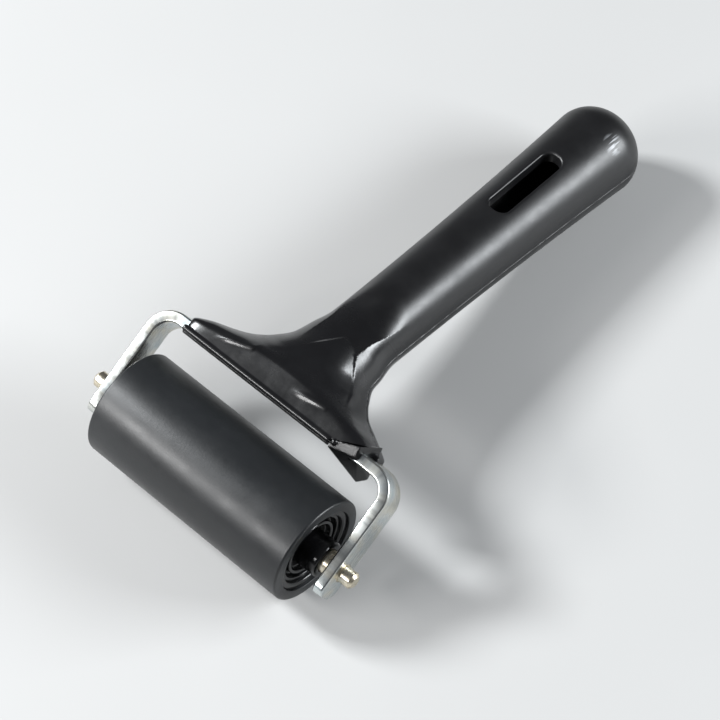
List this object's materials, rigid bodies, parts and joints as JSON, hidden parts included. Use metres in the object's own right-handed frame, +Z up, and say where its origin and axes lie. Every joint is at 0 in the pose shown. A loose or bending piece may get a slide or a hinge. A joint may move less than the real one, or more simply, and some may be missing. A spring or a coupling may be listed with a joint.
{
  "type": "rubber brayer",
  "caption": "Hand roller with a rubber-covered cylinder on an axle in a bent steel yoke, and a moulded handle with a hanging slot, for spreading ink or pressing sheets flat.",
  "frame": {"origin": "on the surface the tool rests on, under the middle of its bounding box", "axes": "+X along the roller's axle, +Y from the roller to the end of the handle, +Z up from the resting surface"},
  "size_m": [0.0824, 0.1557, 0.0327],
  "materials": {
    "handle_plastic": "black moulded plastic, satin with a fine grain",
    "zinc_strip": "bright zinc-plated strip with fine lengthwise draw lines",
    "axle_steel": "steel rod with a warm yellowish plating",
    "black_rubber": "ground matt black rubber",
    "core_plastic": "glossy black plastic"
  },
  "bodies": {
    "frame": {"frame_yoke": "zinc_strip", "axle_pin": "axle_steel", "handle_upper": "handle_plastic", "handle_lower": "handle_plastic"},
    "roller": {"roller_sleeve": "black_rubber", "core_tube": "core_plastic", "core_plug_left": "core_plastic", "core_plug_right": "core_plastic"}
  },
  "joints": [
    {"name": "roller_spin", "type": "hinge", "parent": "frame", "child": "roller", "pos_m": [0, -0.06415, 0.0137], "axis": [1, 0, 0], "continuous": true}
  ]
}
